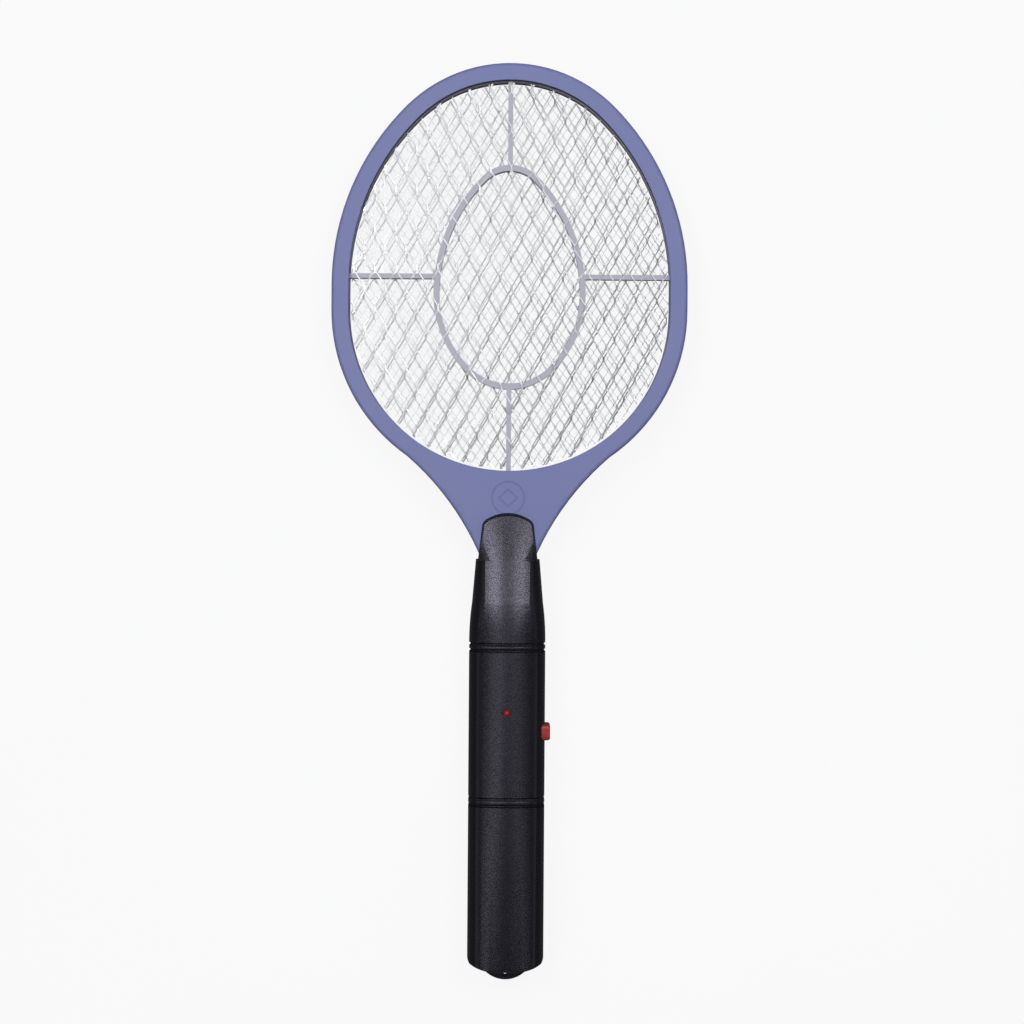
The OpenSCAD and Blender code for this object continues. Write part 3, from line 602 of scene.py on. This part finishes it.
def net_cell(bm, width, height, bond, strand, lift):
    """The strands round one opening: an inset hexagon with two widened bonds and tilted strands."""
    bmesh.ops.create_circle(bm, cap_ends=True, segments=6, radius=1)
    for vert in bm.verts:
        tip = abs(vert.co.x) < 0.1
        half_y = (height - bond) / 2 if tip else bond / 2
        vert.co.x = 0 if tip else math.copysign(width / 2, vert.co.x)
        vert.co.y = math.copysign(half_y, vert.co.y)
    bmesh.ops.inset_individual(bm, faces=bm.faces[:], thickness=strand / 2)
    opening = max(bm.faces, key=lambda face: len(face.verts))
    for vert in opening.verts:
        if abs(vert.co.x) > width / 4:
            side = math.copysign(1, vert.co.x)
            vert.co.x -= side * strand * BOND_WIDENING
            vert.co.z = side * lift
    bmesh.ops.delete(bm, geom=[opening], context="FACES_ONLY")


def repeat(bm, step, times):
    """Repeats everything in a bmesh along a step."""
    everything = bm.verts[:] + bm.edges[:] + bm.faces[:]
    bmesh.ops.spin(
        bm, geom=everything, cent=(0, 0, 0), axis=(0, 0, 1), dvec=step, angle=0, steps=times,
        use_duplicate=True,
    )


def unsettle(bm, wobble):
    """Moves the strands of a net a little out of line."""
    for vert in bm.verts:
        slow, quick = noise.noise_vector(vert.co * SLOW_DRIFT), noise.noise_vector(vert.co * QUICK_DRIFT)
        drift = slow + QUICK_SHARE * quick
        vert.co += Vector((drift.x, drift.y, drift.z * RISE_SHARE)) * wobble


def build_net(name, node_name, cell, turn, phase, inset, wobble):
    """An expanded-metal net, turned and shifted by shares of its pitch, and cut to the opening."""
    sizes = bpy.context.scene.swatter_net
    width, height, bond, strand, sheet = cell
    low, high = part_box(node_name)
    middle = (low + high) / 2
    lift = strand / 2 * math.tan(sizes.tilt)
    bm = bmesh.new()
    net_cell(bm, width, height, bond, strand, lift)
    repeat(bm, (width / 2, height / 2, 0), 1)
    columns = math.ceil((high.x - low.x) / width) + 3
    rows = math.ceil((high.y - low.y) / height) + 3
    repeat(bm, (width, 0, 0), columns)
    repeat(bm, (0, height, 0), rows)
    bmesh.ops.remove_doubles(bm, verts=bm.verts, dist=0.01 * MM)
    corner = Vector((-width * columns / 2 + phase[0] * width, -height * rows / 2 + phase[1] * height, 0))
    bmesh.ops.translate(bm, verts=bm.verts, vec=corner)
    bmesh.ops.rotate(bm, verts=bm.verts, cent=(0, 0, 0), matrix=Matrix.Rotation(turn, 3, "Z"))
    bmesh.ops.translate(bm, verts=bm.verts, vec=(middle.x, middle.y, middle.z))
    for point, normal in opening_planes(node_name, inset, sizes.outline_steps):
        cut(bm, point, normal, clear_outer=True)
    unsettle(bm, wobble)
    bmesh.ops.recalc_face_normals(bm, faces=bm.faces)
    bmesh.ops.solidify(bm, geom=bm.faces[:], thickness=sheet)
    bmesh.ops.translate(bm, verts=bm.verts, vec=(0, 0, sheet / 2))
    bmesh.ops.recalc_face_normals(bm, faces=bm.faces)
    return add_piece(name, bm, "net_aluminium", "root", node_name)


class SWATTER_OT_nets(Operator):
    """Makes the two coarse outer nets and the fine middle net"""

    bl_idname = "swatter.nets"
    bl_label = "Nets"

    def execute(self, context):
        net = context.scene.swatter_net
        coarse = (net.coarse_x, net.coarse_y, net.coarse_bond, net.coarse_strand, net.coarse_sheet)
        fine = (net.fine_x, net.fine_y, net.fine_bond, net.fine_strand, net.fine_sheet)
        gap = net.edge_gap
        middle_gap = gap + MIDDLE_NET_STEP
        build_net("net_front", "grid_front", coarse, math.radians(0.4), (0.1, 0.2), gap, COARSE_WOBBLE)
        build_net("net_rear", "grid_rear", coarse, math.radians(-0.5), (0.55, 0.45), gap, COARSE_WOBBLE)
        build_net("net_middle", "grid_middle", fine, math.radians(2.5), (0, 0), middle_gap, FINE_WOBBLE)
        return {"FINISHED"}


# ---------- shells, frame and controls ----------


class SWATTER_OT_shells(Operator):
    """Makes the two handle shells and the battery door"""

    bl_idname = "swatter.shells"
    bl_label = "Handle shells and door"

    def execute(self, context):
        moulded_piece("shell_front", "handle_front_shell", "root", shape_shell)
        moulded_piece("shell_rear", "handle_rear_shell", "root", shape_shell)
        moulded_piece("door_cover", "battery_door", "door")
        return {"FINISHED"}


class SWATTER_OT_head(Operator):
    """Makes the two halves of the head frame and the spacers between the nets"""

    bl_idname = "swatter.head"
    bl_label = "Head frame and spacers"

    def execute(self, context):
        for side in ("front", "rear"):
            paint_lip_shade(moulded_piece("frame_" + side, "head_frame_" + side, "root"))
            moulded_piece("net_spacer_" + side, "spacer_" + side, "root")
        return {"FINISHED"}


class SWATTER_OT_controls(Operator):
    """Makes the push button and the indicator lamp"""

    bl_idname = "swatter.controls"
    bl_label = "Button and lamp"

    def execute(self, context):
        moulded_piece("button_cap", "push_button", "button", round_button)
        moulded_piece("lamp_dome", "lamp_lens", "root")
        return {"FINISHED"}


class SWATTER_OT_inner_parts(Operator):
    """Gives the parts that stay as the frame has them their finishes"""

    bl_idname = "swatter.inner_parts"
    bl_label = "Inner parts"

    def execute(self, context):
        for name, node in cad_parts.items():
            if node.hide_render:
                continue
            for slot in node.material_slots:
                slot.link = "OBJECT"
                slot.material = finish_for(slots[name])
        return {"FINISHED"}


# ---------- stage ----------


def add_light(name, place, size, power):
    """A rectangular soft box that faces the origin."""
    data = bpy.data.lights.new(name, "AREA")
    data.shape = "RECTANGLE"
    data.size, data.size_y = size
    data.energy = power
    light = bpy.data.objects.new(name, data)
    bpy.context.scene.collection.objects.link(light)
    light.location = place
    light.rotation_euler = (-Vector(place)).to_track_quat("-Z", "Y").to_euler()


def studio_world():
    """Dim studio with a brighter band of walls, which looks pale like the floor from the camera."""
    world = bpy.data.worlds.new("studio")
    world.use_nodes = True
    tree = world.node_tree
    up = object_axis(tree, "Z")
    above = add_range(tree, up, 0.12, 0.27)
    below = add_range(tree, up, 0.5, 0.68, 1, 0)
    band = tree.nodes.new("ShaderNodeMath")
    band.operation = "MULTIPLY"
    link_in(tree, above, band.inputs[0])
    link_in(tree, below, band.inputs[1])
    tone = add_mix(tree, band.outputs["Value"], STUDIO_DIM, STUDIO_BAND)
    rays = tree.nodes.new("ShaderNodeLightPath")
    seen = add_mix(tree, rays.outputs["Is Camera Ray"], tone, STUDIO_SEEN)
    link_in(tree, seen, tree.nodes["Background"].inputs["Color"])
    return world


def floor_material():
    """Plain pale floor that glows a little to the camera and stays dim in the swatter's gloss."""
    material, shader = new_material("pale_floor", Roughness=0.9, Specular_IOR_Level=0.0)
    tree = material.node_tree
    output = tree.nodes["Material Output"]
    rays = tree.nodes.new("ShaderNodeLightPath")
    paper = add_noise(tree, 3, 2)
    tone = add_mix(tree, paper.outputs["Fac"], *FLOOR_TONES)
    link_in(tree, tone, shader.inputs["Base Color"])
    glow = tree.nodes.new("ShaderNodeEmission")
    link_in(tree, tone, glow.inputs["Color"])
    seen = tree.nodes.new("ShaderNodeMixShader")
    seen.inputs["Fac"].default_value = FLOOR_GLOW
    link_in(tree, shader.outputs["BSDF"], seen.inputs[1])
    link_in(tree, glow.outputs["Emission"], seen.inputs[2])
    dim = tree.nodes.new("ShaderNodeBsdfDiffuse")
    dim.inputs["Color"].default_value = FLOOR_DIM
    chosen = tree.nodes.new("ShaderNodeMixShader")
    link_in(tree, rays.outputs["Is Camera Ray"], chosen.inputs["Fac"])
    link_in(tree, dim.outputs["BSDF"], chosen.inputs[1])
    link_in(tree, seen.outputs["Shader"], chosen.inputs[2])
    link_in(tree, chosen.outputs["Shader"], output.inputs["Surface"])
    return material


def add_floor(size, height):
    """A square of floor at a height."""
    bm = bmesh.new()
    bmesh.ops.create_grid(bm, x_segments=2, y_segments=2, size=size / 2)
    bmesh.ops.translate(bm, verts=bm.verts, vec=(0, 0, height))
    mesh = bpy.data.meshes.new("floor")
    bm.to_mesh(mesh)
    bm.free()
    floor = bpy.data.objects.new("floor", mesh)
    bpy.context.scene.collection.objects.link(floor)
    mesh.materials.append(floor_material())


def add_camera(sizes, middle):
    """A camera that looks straight down on the object."""
    data = bpy.data.cameras.new("camera")
    data.sensor_width = 36
    data.lens = data.sensor_width * sizes.camera_height / sizes.view_width
    data.clip_end = 20
    camera = bpy.data.objects.new("camera", data)
    bpy.context.scene.collection.objects.link(camera)
    camera.location = (sizes.camera_across, sizes.camera_along, middle.z + sizes.camera_height)
    camera.rotation_euler = (0, 0, sizes.camera_roll)
    bpy.context.scene.camera = camera


class SWATTER_OT_stage(Operator):
    """Makes the floor, the soft lights and the camera"""

    bl_idname = "swatter.stage"
    bl_label = "Stage"

    def execute(self, context):
        sizes = context.scene.swatter_stage
        low, high = cad_box
        add_floor(sizes.floor_size, low.z - 0.05 * MM)
        for light in LIGHTS:
            add_light(*light)
        context.scene.world = studio_world()
        add_camera(sizes, (low + high) / 2)
        context.scene.view_settings.view_transform = "Standard"
        return {"FINISHED"}


# ---------- add-on ----------


SETTINGS = {
    "swatter_net": SwatterNetSizes,
    "swatter_handle": SwatterHandleSizes,
    "swatter_colours": SwatterColours,
    "swatter_stage": SwatterStageSizes,
}
OPERATORS = (
    SWATTER_OT_shells,
    SWATTER_OT_head,
    SWATTER_OT_nets,
    SWATTER_OT_controls,
    SWATTER_OT_inner_parts,
    SWATTER_OT_stage,
)


class SWATTER_PT_panel(Panel):
    """Lists the pieces of the swatter in the sidebar"""

    bl_idname = "SWATTER_PT_panel"
    bl_label = "Electric Fly Swatter"
    bl_space_type = "VIEW_3D"
    bl_region_type = "UI"
    bl_category = "Swatter"

    def draw(self, context):
        layout = self.layout
        for setting, kind in SETTINGS.items():
            group = getattr(context.scene, setting)
            box = layout.box()
            for name in kind.__annotations__:
                box.prop(group, name)
        for operator in OPERATORS:
            layout.operator(operator.bl_idname)


CLASSES = (*SETTINGS.values(), *OPERATORS, SWATTER_PT_panel)


def register():
    """Registers the classes and puts the settings on the scene."""
    for item in CLASSES:
        bpy.utils.register_class(item)
    for name, group in SETTINGS.items():
        setattr(bpy.types.Scene, name, PointerProperty(type=group))


def unregister():
    """Takes the settings off the scene and unregisters the classes."""
    for name in SETTINGS:
        delattr(bpy.types.Scene, name)
    for item in reversed(CLASSES):
        bpy.utils.unregister_class(item)


def main():
    """Makes everything in order."""
    register()
    for operator in OPERATORS:
        category, name = operator.bl_idname.split(".")
        getattr(getattr(bpy.ops, category), name)()


if __name__ == "__main__":
    main()
